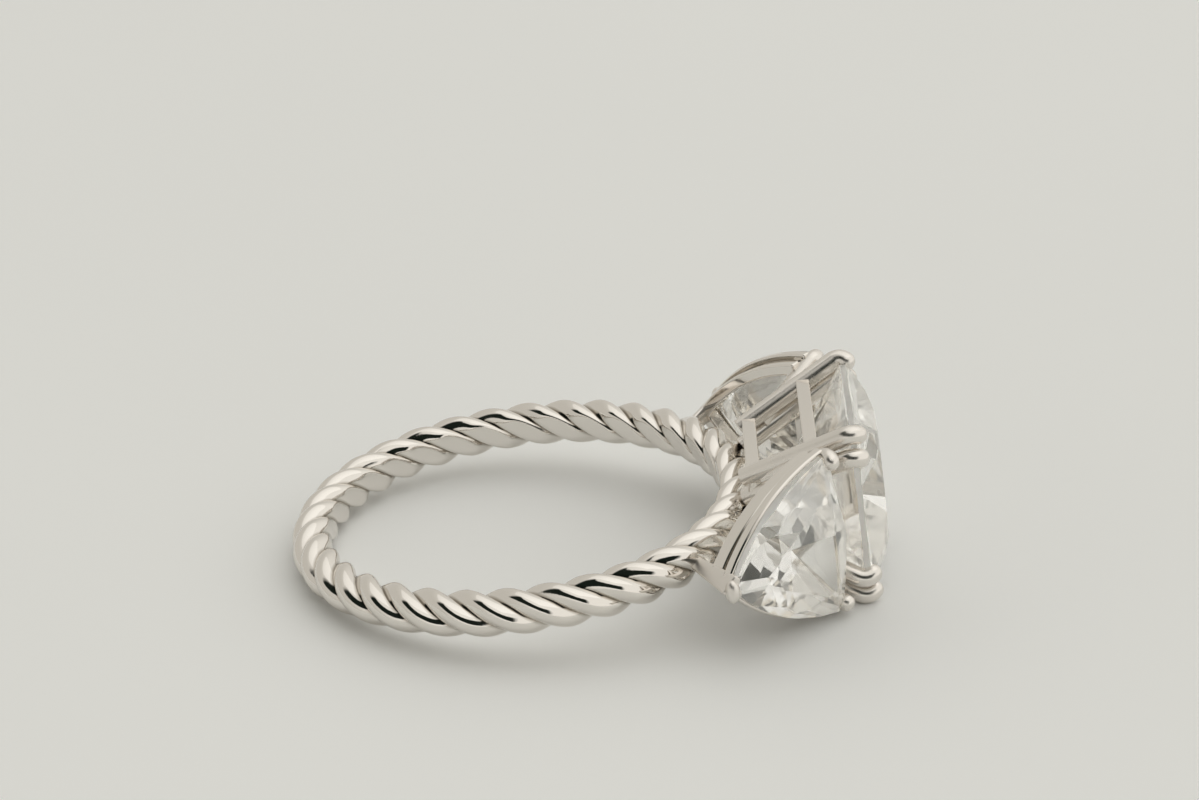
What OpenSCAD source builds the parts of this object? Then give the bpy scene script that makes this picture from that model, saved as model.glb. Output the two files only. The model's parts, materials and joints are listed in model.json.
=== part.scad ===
// Three-stone ring with a twisted rope shank, lying on its side as it rests on a flat floor.
// Lengths are in millimetres. Each piece is drawn in the ring's own axes: X runs from the middle of
// the finger hole to the centre stone, Z runs along the finger, and the two sides lie along +Y and -Y.
// The last step tips the whole ring about Y, so that it lies on the rope and the lower claws.
// The origin is the middle of the finger hole.

/* [Shank] */
// Inside diameter of the finger hole
finger_d = 17.3; // [15:0.1:21]
// Diameter of the rope over the crests of its strands
rope_d = 2; // [1.7:0.05:2.5]
// Depth of the grooves between the three strands
groove_depth = 0.34; // [0.15:0.01:0.4]
// How deep the finger hole is cut into the inner crests
inner_flat = 0.25; // [0.2:0.01:0.45]
// Crests that the rope shows once round the ring
twist_crests = 34; // [20:1:48]

/* [Centre stone] */
// Width of the centre stone across the finger
centre_w = 8.8; // [7:0.1:11]
// Length of the centre stone along the finger
centre_l = 8.1; // [6.5:0.1:10]
// Height of its girdle above the outside of the rope
centre_rise = 4.2; // [3.9:0.1:5.5]
// Height of its crown above the girdle
centre_crown = 1; // [0.7:0.05:1.6]
// Depth of its pavilion below the girdle
centre_depth = 3.3; // [2.6:0.1:3.7]

/* [Side stones] */
// Length of a side stone along its inner edge
side_l = 7.4; // [6:0.1:8]
// Reach of a side stone from its inner edge to its point
side_reach = 6.2; // [5.4:0.1:7]
// How far the two long edges bow out
side_bow = 0.75; // [0.3:0.05:0.9]
// How far the inner edge bows out
side_inner_bow = 0.3; // [0.15:0.05:0.45]
// Height of a side stone's crown above the girdle
side_crown = 0.85; // [0.5:0.05:1.2]
// Depth of a side stone's pavilion below the girdle
side_depth = 2.6; // [2:0.1:2.8]
// Space between the centre stone's flank and a side stone's inner edge
side_space = 1; // [0.8:0.05:1.6]
// Height of a side stone's inner edge above the outside of the rope
side_rise = 2.9; // [2.7:0.1:3.6]
// Tilt of a side stone's face from the centre stone's face
side_tilt = 47; // [40:0.5:52]

/* [Claws and galleries] */
// Diameter of the centre stone's eight claws
claw_d = 0.85; // [0.7:0.05:1]
// Space between the axes of the two claws at a corner
claw_pitch = 0.94; // [0.85:0.01:1.2]
// Diameter of the four bead claws of the side stones
bead_d = 0.76; // [0.6:0.02:0.9]
// Height of each gallery rail of the centre stone
rail_h = 0.6; // [0.4:0.05:0.9]
// Wall of each gallery rail
rail_wall = 0.55; // [0.4:0.05:0.8]
// Height of the upper band under a side stone
band_h = 0.45; // [0.35:0.05:0.6]
// Height of the lower band under a side stone
low_band_h = 0.7; // [0.5:0.05:0.9]
// Open slot between the two bands at the stone's point
band_slot = 0.3; // [0.2:0.05:0.45]
// Length of each wing of the pointed claw at the stone's point, along the stone's edge
wing_l = 0.95; // [0.7:0.05:1.1]
// Thickness of the wings of the pointed claw
wing_t = 0.5; // [0.4:0.05:0.7]
// Space between each stone and the metal that holds it
stone_gap = 0.03; // [0.02:0.01:0.06]

/* [Hidden] */
metal = "#d9d4ca";
clear_stone = "#eef4f5";

// The rope: radii of its crests, of its grooves and of its centre line.
STRANDS = 3;
LOBE_POINTS = 6;
RINGS_PER_CREST = 6;
// Angle round the rope of a crest at the head, where the rope passes under the centre stone
rope_phase = 13;
crest_r = rope_d / 2;
groove_r = crest_r - groove_depth;
finger_r = finger_d / 2;
rope_r = finger_r - inner_flat + crest_r;
rope_out_r = rope_r + crest_r;
// Each strand is a circle whose centre lies this far from the rope's axis
strand_off = (crest_r * crest_r - groove_r * groove_r) / (2 * crest_r - groove_r);
strand_r = crest_r - strand_off;
section_points = STRANDS * LOBE_POINTS;
crests = round(twist_crests);
rings = crests * RINGS_PER_CREST;

// The centre stone: its outline is a rounded rectangle with this power.
CUSHION_POWER = 5;
CENTRE_SIDES = 16;
GIRDLE = 0.24;
centre_x = rope_out_r + centre_rise;

// Facet levels of the stones: share of the outline, share of the crown or pavilion, and half a step
// round where the level is staggered.
// Columns: outline share, height share, stagger
CROWN_LEVELS = [[0.56, 1, 0.5], [0.83, 0.62, 0]];
PAVILION_LEVELS = [[0.56, 0.52, 0]];

// The side stones: middle of the inner edge, and the directions of reach and of the face.
side_x = rope_out_r + side_rise;
side_y = centre_w / 2 + side_space;
reach_dir = [-sin(side_tilt), cos(side_tilt)];
face_dir = [cos(side_tilt), sin(side_tilt)];
SIDE_EDGE_POINTS = 5;
CORNER_CUT = 0.04;
side_mid = side_reach * 0.36;

// The claws.
CLAW_SIDES = 10;
BEND_STEPS = 3;
claw_r = claw_d / 2;
bead_r = bead_d / 2;
bend_r = claw_r * 1.15;
CLAW_TURN = 78;
// The corner where a pair of claws crosses the girdle, and how far its claws lean off the flank
claw_y = centre_w / 2 - claw_r * 0.47;
claw_z = centre_l / 2 - claw_r * 1.85;
CLAW_SLANT = 0.32;
// The pair's foot on the rope
foot_x = rope_r + crest_r * 0.35;
foot_y = centre_w * 0.29;
foot_z = centre_l * 0.15;
// Shares of a claw's height at which the centre stone's two rails cross it
RAIL_SHARES = [0.1, 0.68];
// Share of a claw's height at which a bead claw leaves it
BEAD_FOOT_SHARE = 0.22;
bead_lift = 0.1;
band_grow = 0.12;
low_band_inset = 0.1;
band_top = -GIRDLE / 2 - 0.02;
// The lower band leans away from the upper one, which it leaves at this share of the stone's reach
SLOT_SHARE = 0.1;
low_band_lean = atan2(band_slot, side_reach * (1 - SLOT_SHARE));
// The pointed claw runs from inside the rope to just above the stone's point, and leans off the radius
wing_over = 0.15;
wing_foot_r = rope_r + groove_r * 0.75;
WING_LEAN = 14;
// Its section at the foot as a share of the section at the point, and how far its ridge leads the point
WING_TAPER = 0.6;
wing_lead = wing_t;
// The cap over the stone's point: its radius as a share of a claw's, and how much longer it is along the
// finger than it is wide
CAP_SHARE = 0.76;
cap_r = claw_r * CAP_SHARE;
CAP_STRETCH = 1.6;

// The way the ring lies: it touches the floor with the rope at the back and the lowest claws.
low_claw_z = claw_z + claw_pitch / 2;
lie_run = centre_x - claw_r + rope_r;
lie_tilt = atan2(low_claw_z, lie_run)
    + asin((claw_r - crest_r) / norm([low_claw_z, lie_run]));

function unit(v) = v / norm(v);
function mix(a, b, t) = a + (b - a) * t;

// Point on the rope's section, as radius and angle, for point k counted from a groove.
function strand_point(k) =
    let (
        lobe = floor(k / LOBE_POINTS),
        half = atan2(groove_r * sin(60), groove_r * cos(60) - strand_off),
        turn = mix(-half, half, (k - lobe * LOBE_POINTS) / LOBE_POINTS),
        x = strand_off + strand_r * cos(turn),
        y = strand_r * sin(turn)
    )
    [norm([x, y]), atan2(y, x) + lobe * 360 / STRANDS];

// Place of point k of ring i of the rope: the section turns against the way round.
function rope_point(i, k) =
    let (
        round = 360 * i / rings,
        s = strand_point(k),
        turn = s[1] + rope_phase - round * crests / STRANDS,
        r = rope_r + s[0] * cos(turn)
    )
    [r * cos(round), r * sin(round), s[0] * sin(turn)];

// Number of a rope point: the last ring joins the first one a few strands on.
function rope_index(i, k) =
    let (
        n = section_points,
        shifted = i < rings ? k : k - crests * LOBE_POINTS
    )
    (i % rings) * n + ((shifted % n) + n) % n;

module shank() {
    points = [for (i = [0:rings - 1]) for (k = [0:section_points - 1]) rope_point(i, k)];
    faces = [
        for (i = [0:rings - 1]) for (k = [0:section_points - 1]) each [
            [rope_index(i, k), rope_index(i + 1, k + 1), rope_index(i + 1, k)],
            [rope_index(i, k), rope_index(i, k + 1), rope_index(i + 1, k + 1)]
        ]
    ];
    polyhedron(points = points, faces = faces, convexity = 8);
}

// A round bar along a path, with its own radius at each point.
module sweep(path, radii, sides) {
    last = len(path) - 1;
    function heading(i) = unit(path[min(i + 1, last)] - path[max(i - 1, 0)]);
    function across(i) = unit(cross(heading(i), [0, 0, 1]));
    points = [
        for (i = [0:last]) for (k = [0:sides - 1])
            path[i] + radii[i] * (across(i) * cos(360 * k / sides)
                + cross(across(i), heading(i)) * sin(360 * k / sides))
    ];
    faces = concat(
        [[for (k = [sides - 1:-1:0]) k]],
        [for (i = [0:last - 1]) for (k = [0:sides - 1]) each [
            [i * sides + k, (i + 1) * sides + (k + 1) % sides, (i + 1) * sides + k],
            [i * sides + k, i * sides + (k + 1) % sides, (i + 1) * sides + (k + 1) % sides]
        ]],
        [[for (k = [0:sides - 1]) last * sides + k]]
    );
    polyhedron(points = points, faces = faces, convexity = 4);
}

// A claw: straight from its foot to the girdle, then bent in over the stone to a round tip.
DOME_ANGLES = [30, 58, 80];
module claw(foot, girdle, inward, r) {
    d = unit(girdle - foot);
    s = unit(inward - d * (inward * d));
    bend = bend_r * r / claw_r;
    e = d * cos(CLAW_TURN) + s * sin(CLAW_TURN);
    tip = girdle + bend * (d * sin(CLAW_TURN) + s * (1 - cos(CLAW_TURN)));
    path = concat(
        [foot, girdle],
        [for (k = [1:BEND_STEPS]) let (t = CLAW_TURN * k / BEND_STEPS)
            girdle + bend * (d * sin(t) + s * (1 - cos(t)))],
        [for (t = DOME_ANGLES) tip + e * r * sin(t)]
    );
    radii = concat([for (k = [0:BEND_STEPS + 1]) r], [for (t = DOME_ANGLES) r * cos(t)]);
    sweep(path, radii, CLAW_SIDES);
}

// A cut stone from its outline: table, crown, girdle, pavilion and a point below.
module cut_stone(outline, middle, crown, depth) {
    n = len(outline);
    function spot(k, stagger) =
        mix(outline[k % n], outline[(k + 1) % n], stagger) - middle;
    function level(share, stagger, z) =
        [for (k = [0:n - 1]) let (p = middle + share * spot(k, stagger)) [p[0], p[1], z]];
    rows = concat(
        [for (row = CROWN_LEVELS) level(row[0], row[2], GIRDLE / 2 + crown * row[1])],
        [level(1, 0, GIRDLE / 2), level(1, 0, -GIRDLE / 2)],
        [for (row = PAVILION_LEVELS) level(row[0], row[2], -GIRDLE / 2 - depth * row[1])]
    );
    count = len(rows);
    points = concat([for (row = rows) each row], [[middle[0], middle[1], -GIRDLE / 2 - depth]]);
    faces = concat(
        [[for (k = [n - 1:-1:0]) k]],
        [for (i = [0:count - 2]) for (k = [0:n - 1]) each [
            [i * n + k, i * n + (k + 1) % n, (i + 1) * n + (k + 1) % n],
            [i * n + k, (i + 1) * n + (k + 1) % n, (i + 1) * n + k]
        ]],
        [for (k = [0:n - 1]) [(count - 1) * n + k, (count - 1) * n + (k + 1) % n, count * n]]
    );
    polyhedron(points = points, faces = faces, convexity = 3);
}

function cushion_outline(w, l) =
    [for (k = [0:CENTRE_SIDES - 1]) let (t = 360 * (k + 0.5) / CENTRE_SIDES)
        [w / 2 * sign(cos(t)) * pow(abs(cos(t)), 2 / CUSHION_POWER),
         l / 2 * sign(sin(t)) * pow(abs(sin(t)), 2 / CUSHION_POWER)]];

// The three corners of a side stone, and how far the edge after each of them bows out.
function side_corners() = [[side_reach, 0], [0, side_l / 2], [0, -side_l / 2]];
SIDE_BOWS = [side_bow, side_inner_bow, side_bow];

function bowed_edge(p, q, bow) =
    let (d = unit(q - p), out = [d[1], -d[0]])
    [for (k = [0:SIDE_EDGE_POINTS - 1])
        let (t = mix(CORNER_CUT, 1 - CORNER_CUT, k / (SIDE_EDGE_POINTS - 1)))
        mix(p, q, t) + out * bow * 4 * t * (1 - t)];

function side_outline(grow) =
    let (c = side_corners(), m = [side_mid, 0])
    [for (i = [0:2]) for (p = bowed_edge(c[i], c[(i + 1) % 3], SIDE_BOWS[i]))
        p + unit(p - m) * grow];

module centre_frame() {
    multmatrix([[0, 0, 1, centre_x], [1, 0, 0, 0], [0, 1, 0, 0], [0, 0, 0, 1]]) children();
}

module side_frame(s) {
    multmatrix([
        [reach_dir[0], 0, face_dir[0], side_x],
        [s * reach_dir[1], 0, s * face_dir[1], s * side_y],
        [0, s, 0, 0],
        [0, 0, 0, 1]
    ]) children();
}

// A point given in a side stone's own directions, in the ring's axes.
function side_point(s, reach, along, up) =
    let (p = [side_x, side_y] + reach * reach_dir + up * face_dir)
    [p[0], s * p[1], along];

module centre_gem(grow) {
    centre_frame()
        cut_stone(cushion_outline(centre_w + 2 * grow, centre_l + 2 * grow), [0, 0],
            centre_crown + grow, centre_depth + grow);
}

module side_gem(s, grow) {
    side_frame(s)
        cut_stone(side_outline(grow), [side_mid, 0], side_crown + grow, side_depth + grow);
}

// Foot and girdle point of a claw: a pair is two claws side by side, one on each side of its middle.
function claw_foot(side, end, which) =
    [foot_x, side * foot_y, end * (foot_z + which * claw_pitch / 2)];
function claw_girdle(side, end, which) =
    [centre_x - claw_r, side * (claw_y - which * CLAW_SLANT * claw_pitch / 2),
     end * (claw_z + which * claw_pitch / 2)];

module gallery_rail(share) {
    w = 2 * mix(foot_y, claw_y, share);
    l = 2 * mix(foot_z, claw_z, share) + claw_pitch;
    x = mix(foot_x, centre_x - claw_r, share);
    translate([x - rail_h / 2, 0, 0])
        rotate([90, 0, 90])
            linear_extrude(rail_h)
                difference() {
                    square([w + rail_wall, l + rail_wall], center = true);
                    square([w - rail_wall, l - rail_wall], center = true);
                }
}

module centre_setting() {
    for (side = [-1, 1]) for (end = [-1, 1]) for (which = [-1, 1])
        claw(claw_foot(side, end, which), claw_girdle(side, end, which),
            [0, -side * centre_w, -end * centre_l], claw_r);
    for (share = RAIL_SHARES) gallery_rail(share);
}

// Outline of a band under a side stone: three arcs, grown outwards.
module bowed_plate(grow) {
    c = side_corners();
    intersection() {
        edge_disc(c[0], c[1], SIDE_BOWS[0], grow);
        edge_disc(c[1], c[2], SIDE_BOWS[1], grow);
        edge_disc(c[2], c[0], SIDE_BOWS[2], grow);
    }
}

module edge_disc(p, q, bow, grow) {
    half = norm(q - p) / 2;
    r = (half * half + bow * bow) / (2 * bow);
    d = unit(q - p);
    middle = (p + q) / 2 - [d[1], -d[0]] * (r - bow);
    translate(middle) circle(r + grow, $fn = 96);
}

module side_band(top, h, grow) {
    translate([0, 0, top - h])
        linear_extrude(h)
            difference() {
                bowed_plate(grow);
                bowed_plate(grow - rail_wall);
            }
}

// The pointed claw: two wings along the stone's long edges, with their foot in the rope.
module pointed_claw(s) {
    tip = side_point(s, side_reach, 0, 0);
    heading = atan2(tip[1], tip[0]) + s * WING_LEAN;
    along = norm(tip) * cos(WING_LEAN);
    aside = norm(tip) * sin(WING_LEAN);
    run = along - sqrt(wing_foot_r * wing_foot_r - aside * aside);
    translate(tip)
        rotate([0, 0, heading])
            translate([-run, 0, 0])
                rotate([0, 90, 0])
                    linear_extrude(run + wing_over, scale = 1 / WING_TAPER)
                        scale(WING_TAPER) wing_section(s);
    translate(side_point(s, side_reach + cap_r * 0.4, 0, cap_r * 0.75))
        scale([1, 1, CAP_STRETCH]) sphere(r = cap_r, $fn = 32);
}

// Section of the pointed claw across its length, with its ridge outwards.
module wing_section(s) {
    back = unit([side_reach, side_l / 2 + 2 * side_bow]);
    run = wing_l * back[0];
    rise = wing_l * back[1];
    polygon([
        [0, s * wing_lead],
        [rise, s * (wing_lead - run)],
        [rise - wing_t * 0.5, s * (wing_lead - run - wing_t * 0.5)],
        [0, s * (wing_lead - run - wing_t * 0.2)],
        [wing_t * 0.5 - rise, s * (wing_lead - run - wing_t * 0.5)],
        [-rise, s * (wing_lead - run)]
    ]);
}

module side_setting(s) {
    side_frame(s) {
        side_band(band_top, band_h, band_grow);
        translate([side_reach * SLOT_SHARE, 0, band_top - band_h])
            rotate([0, low_band_lean, 0])
                translate([-side_reach * SLOT_SHARE, 0, 0])
                    side_band(0, low_band_h, -low_band_inset);
    }
    pointed_claw(s);
    for (end = [-1, 1])
        claw(
            mix(claw_foot(s, end, 0), claw_girdle(s, end, 0), BEAD_FOOT_SHARE),
            side_point(s, -bead_r * 0.5, end * (side_l / 2 - bead_r * 0.8), bead_lift - bead_r),
            side_point(s, side_mid, 0, 0) - side_point(s, 0, end * side_l / 2, 0), bead_r
        );
}

module lying() {
    rotate([0, -lie_tilt, 0]) children();
}

module ring_mount() {
    color(metal)
        lying()
            difference() {
                union() {
                    shank();
                    centre_setting();
                    side_setting(1);
                    side_setting(-1);
                }
                cylinder(r = finger_r, h = 2 * rope_d, center = true, $fn = 180);
                centre_gem(stone_gap);
                side_gem(1, stone_gap);
                side_gem(-1, stone_gap);
            }
}

module centre_stone() { color(clear_stone) lying() centre_gem(0); }

module side_stone_right() { color(clear_stone) lying() side_gem(-1, 0); }

module side_stone_left() { color(clear_stone) lying() side_gem(1, 0); }

ring_mount();
centre_stone();
side_stone_right();
side_stone_left();
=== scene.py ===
# %% [markdown]
# # A three-stone ring with a twisted rope shank
#
# The ring lies on its side on a pale table. Its metal is polished white gold: a shank twisted from three
# strands, a basket with eight claws for the centre stone, and a smaller basket on each side for a
# three-sided stone. This lesson loads the exact construction model as a frame, and then builds finer
# pieces around it, each in the place where the construction model has it.

# %% Load the frame
import json
from math import atan2, cos, degrees, exp, hypot, log, pi, radians, sin, sqrt

import bmesh
import bpy
from mathutils import Matrix, Vector


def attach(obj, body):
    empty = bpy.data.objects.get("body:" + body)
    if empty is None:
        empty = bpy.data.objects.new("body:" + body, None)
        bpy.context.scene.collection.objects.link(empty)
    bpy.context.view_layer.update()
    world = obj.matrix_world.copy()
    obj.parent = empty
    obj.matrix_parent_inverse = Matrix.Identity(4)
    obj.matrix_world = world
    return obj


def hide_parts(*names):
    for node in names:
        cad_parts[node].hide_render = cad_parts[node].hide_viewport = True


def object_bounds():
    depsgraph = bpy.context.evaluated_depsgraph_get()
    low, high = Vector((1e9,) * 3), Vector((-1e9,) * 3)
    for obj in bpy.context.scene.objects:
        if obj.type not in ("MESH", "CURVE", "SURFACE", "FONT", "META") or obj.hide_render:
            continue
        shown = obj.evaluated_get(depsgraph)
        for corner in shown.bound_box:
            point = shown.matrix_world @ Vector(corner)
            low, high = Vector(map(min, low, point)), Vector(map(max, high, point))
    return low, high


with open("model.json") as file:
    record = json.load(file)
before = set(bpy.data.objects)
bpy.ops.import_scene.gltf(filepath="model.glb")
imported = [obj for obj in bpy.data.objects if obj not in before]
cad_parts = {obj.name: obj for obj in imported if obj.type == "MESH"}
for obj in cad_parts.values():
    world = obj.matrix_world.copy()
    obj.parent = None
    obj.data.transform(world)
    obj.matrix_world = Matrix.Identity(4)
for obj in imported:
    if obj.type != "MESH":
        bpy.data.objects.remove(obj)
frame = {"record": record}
cad_low, cad_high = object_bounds()
print("construction model, mm:", [round((b - a) * 1000, 2) for a, b in zip(cad_low, cad_high)])

# %% [markdown]
# ## The ring's own axes
#
# A ring is easiest to draw upright to itself: X from the middle of the finger hole to the head, Z along
# the finger, Y to the two sides, and all lengths in millimetres. A last turn lays the ring down, as the
# goldsmith would put it on the bench. The frame's finger hole says how far it leans, because its axis is
# stored there, so the angle isn't typed again.

# %% From the ring's axes to the frame
MM = 0.001
hole_axis = frame["record"]["mounts"][0]["axis"]
LEAN = atan2(-hole_axis[0], hole_axis[2])
LAY_DOWN = Matrix.Rotation(-LEAN, 4, "Y") @ Matrix.Scale(MM, 4)
print("the ring leans by", round(degrees(LEAN), 2), "degrees")

# %% [markdown]
# ## The sizes of the real ring
#
# These are the same sizes as in the construction model. The finger hole is 17.3 mm across, and the rope
# is 2 mm thick over its crests.

# %% Sizes in millimetres
FINGER_R = 8.65
CREST_R = 1.0
GROOVE_R = 0.66
ROPE_R = FINGER_R - 0.25 + CREST_R
ROPE_OUT_R = ROPE_R + CREST_R
CRESTS = 34
STRANDS = 3
ROPE_PHASE = 13

CENTRE_W, CENTRE_L = 8.8, 8.1
CENTRE_X = ROPE_OUT_R + 4.2
CENTRE_CROWN, CENTRE_DEPTH = 1.0, 3.3
GIRDLE = 0.24

SIDE_L, SIDE_REACH = 7.4, 6.2
SIDE_BOW, SIDE_INNER_BOW = 0.75, 0.3
SIDE_CROWN, SIDE_DEPTH = 0.85, 2.6
SIDE_X = ROPE_OUT_R + 2.9
SIDE_Y = CENTRE_W / 2 + 1.0
SIDE_TILT = radians(47)
SIDE_MID = SIDE_REACH * 0.36

CLAW_R = 0.425
CLAW_PITCH = 0.94
BEAD_R = 0.38
RAIL_H, RAIL_WALL = 0.6, 0.55
BAND_H, LOW_BAND_H, BAND_SLOT = 0.45, 0.7, 0.3
WING_L, WING_T = 0.95, 0.5

# %% [markdown]
# ## The camera
#
# The photograph looks over the near side of the rope, about 24 degrees above the table. The camera stands
# 16 cm away behind a long lens, which is how such a small thing is usually taken.

# %% Make the camera
LENS_MM, FILM_MM = 108.9, 36
STANDS_AT = (0.00272, -0.14398, 0.06972)
TURNED_BY = (65.939, -0.379, -0.025)

camera_data = bpy.data.cameras.new("camera")
camera_data.lens, camera_data.sensor_width = LENS_MM, FILM_MM
camera_data.clip_start, camera_data.clip_end = 0.005, 20
camera = bpy.data.objects.new("camera", camera_data)
camera.location = STANDS_AT
camera.rotation_euler = [radians(turn) for turn in TURNED_BY]
bpy.context.scene.collection.objects.link(camera)
bpy.context.scene.camera = camera
print("camera:", round(camera.location.length / MM), "mm from the finger hole")

# %% [markdown]
# ## The table and the light
#
# Polished metal shows what stands around it. In the photograph each strand has a creamy streak from the
# bright side of the room, a near-black streak under it, and the pale table below. So the world is a soft
# room, bright on the right and dimmer on the left, with one dark strip on the camera's side. The strip is
# part of a circle on the sky, laid where the dark streaks of the photograph have to come from. A large soft
# panel hangs over the ring and adds a gentle shadow.

# %% Helpers for node trees
def add_node(tree, kind, **settings):
    made = tree.nodes.new(kind)
    for name, value in settings.items():
        setattr(made, name, value)
    return made


def new_material(name):
    """A material with its node tree and its shader."""
    material = bpy.data.materials.new(name)
    material.use_nodes = True
    return material, material.node_tree, material.node_tree.nodes["Principled BSDF"]


def object_place(tree):
    """Each point's place in the object's own coordinates."""
    return add_node(tree, "ShaderNodeTexCoord").outputs["Object"]


def noise(tree, place, scale, detail):
    """A noise pattern. A larger scale makes its spots smaller, and detail adds finer ones."""
    made = add_node(tree, "ShaderNodeTexNoise")
    made.inputs["Scale"].default_value, made.inputs["Detail"].default_value = scale, detail
    tree.links.new(place, made.inputs["Vector"])
    return made.outputs["Fac"]


# %% Helpers for colours and for the sky
def ramp(tree, stops):
    """A colour ramp with the given positions and colours."""
    made = add_node(tree, "ShaderNodeValToRGB")
    while len(made.color_ramp.elements) < len(stops):
        made.color_ramp.elements.new(0.5)
    for element, (position, colour) in zip(made.color_ramp.elements, stops):
        element.position, element.color = position, colour
    return made


def toward(azimuth, elevation):
    """The direction at an azimuth and height in degrees."""
    a, e = radians(azimuth), radians(elevation)
    return Vector((cos(a) * cos(e), sin(a) * cos(e), sin(e)))


def share_along(tree, direction, middle):
    """How far the direction points toward the middle: 1 there, and 0 square to it."""
    along = add_node(tree, "ShaderNodeVectorMath", operation="DOT_PRODUCT")
    tree.links.new(direction, along.inputs[0])
    along.inputs[1].default_value = middle
    return along.outputs["Value"]


def soft_step(tree, value, begins, full):
    """A mask that grows from 0 to 1 between two values."""
    mask = add_node(tree, "ShaderNodeMapRange", interpolation_type="SMOOTHSTEP")
    mask.inputs["From Min"].default_value, mask.inputs["From Max"].default_value = begins, full
    tree.links.new(value, mask.inputs["Value"])
    return mask.outputs["Result"]


def combine(tree, operation, *values):
    """One step of arithmetic on the outputs of other nodes."""
    made = add_node(tree, "ShaderNodeMath", operation=operation)
    for socket, value in zip(made.inputs, values):
        tree.links.new(value, socket)
    return made.outputs["Value"]


def blend(tree, share, first, second):
    """From the first colour to the second as the share grows. A colour is given as a value or an output."""
    made = add_node(tree, "ShaderNodeMix", data_type="RGBA")
    tree.links.new(share, made.inputs[0])
    for socket, colour in ((made.inputs[6], first), (made.inputs[7], second)):
        if isinstance(colour, bpy.types.NodeSocket):
            tree.links.new(colour, socket)
        else:
            socket.default_value = colour
    return made.outputs[2]


# %% The world
ROOM_DIM = (0.62, 0.60, 0.55, 1)
ROOM_BRIGHT = (0.97, 0.95, 0.895, 1)
BRIGHT_SIDE, ROOM_FADE = (-28, 26), (-0.5, 0.8)
DARK_COLOUR = (0.010, 0.014, 0.011, 1)
# The dark strip: the pole of its circle, its angle from the pole, its half width and its soft edge, all in
# degrees, then the direction of its middle and how far round from there it fades
STRIP_POLE = (-35, 72)
STRIP_ANGLE, STRIP_HALF, STRIP_SOFT = 53.5, 11.5, 3
STRIP_MIDDLE, STRIP_FADE = (-112, 31), (0.56, 0.70)

world = bpy.data.worlds.new("studio")
bpy.context.scene.world = world
world.use_nodes = True
sky = world.node_tree
direction = add_node(sky, "ShaderNodeTexCoord").outputs["Generated"]
room = ramp(sky, [(0.0, ROOM_DIM), (1.0, ROOM_BRIGHT)])
brightness = soft_step(sky, share_along(sky, direction, toward(*BRIGHT_SIDE)), *ROOM_FADE)
sky.links.new(brightness, room.inputs[0])
off_strip = add_node(sky, "ShaderNodeMath", operation="SUBTRACT")
sky.links.new(share_along(sky, direction, toward(*STRIP_POLE)), off_strip.inputs[0])
off_strip.inputs[1].default_value = cos(radians(STRIP_ANGLE))
on_strip = soft_step(sky, combine(sky, "ABSOLUTE", off_strip.outputs["Value"]),
                     sin(radians(STRIP_HALF + STRIP_SOFT)), sin(radians(STRIP_HALF)))
in_reach = soft_step(sky, share_along(sky, direction, toward(*STRIP_MIDDLE)), *STRIP_FADE)
surroundings = blend(sky, combine(sky, "MULTIPLY", on_strip, in_reach), room.outputs["Color"], DARK_COLOUR)
sky.links.new(surroundings, sky.nodes["Background"].inputs["Color"])
print("world: bright on the right, dim on the left, and a dark strip on the camera's side")

# %% The soft panel overhead
PANEL_SIZE, PANEL_WATTS = (0.56, 0.46), 0.15
PANEL_TOWARD, PANEL_FAR = (55, 74), 0.45

panel_data = bpy.data.lights.new("soft_panel", "AREA")
panel_data.shape = "RECTANGLE"
panel_data.size, panel_data.size_y = PANEL_SIZE
panel_data.energy = PANEL_WATTS
panel_data.color = (0.99, 1.0, 1.01)
panel = bpy.data.objects.new("soft_panel", panel_data)
panel.location = toward(*PANEL_TOWARD) * PANEL_FAR
panel.rotation_euler = (-panel.location).to_track_quat("-Z", "Y").to_euler()
bpy.context.scene.collection.objects.link(panel)
print("soft panel:", PANEL_WATTS, "W,", PANEL_FAR, "m from the ring")

# %% The table
TABLE_R = 2.5
PALE, PALER = (0.90, 0.91, 0.90, 1), (0.925, 0.935, 0.925, 1)
CLOUD_SCALE = 9

table_material, tree, shader = new_material("pale_table")
shader.inputs["Roughness"].default_value = 0.62
tint = ramp(tree, [(0.3, PALE), (0.7, PALER)])
tree.links.new(noise(tree, object_place(tree), CLOUD_SCALE, 3), tint.inputs[0])
tree.links.new(tint.outputs["Color"], shader.inputs["Base Color"])

table = bmesh.new()
bmesh.ops.create_circle(table, cap_ends=True, segments=96, radius=TABLE_R)
bmesh.ops.translate(table, vec=(0, 0, cad_low.z), verts=table.verts)
table_mesh = bpy.data.meshes.new("table_top")
table.to_mesh(table_mesh)
table.free()
table_top = bpy.data.objects.new("table_top", table_mesh)
table_mesh.materials.append(table_material)
bpy.context.scene.collection.objects.link(table_top)
print("table at", round(cad_low.z / MM, 3), "mm")

# %% [markdown]
# ## Polish marks
#
# A polished ring is never a perfect mirror. Buffing leaves a faint haze and shallow ripples. One node group
# makes both from the object's own coordinates, so that every metal finish can use it with its own strength.

# %% The polish group
HAZE_SCALE, RIPPLE_SCALE = 700, 1500


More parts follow.
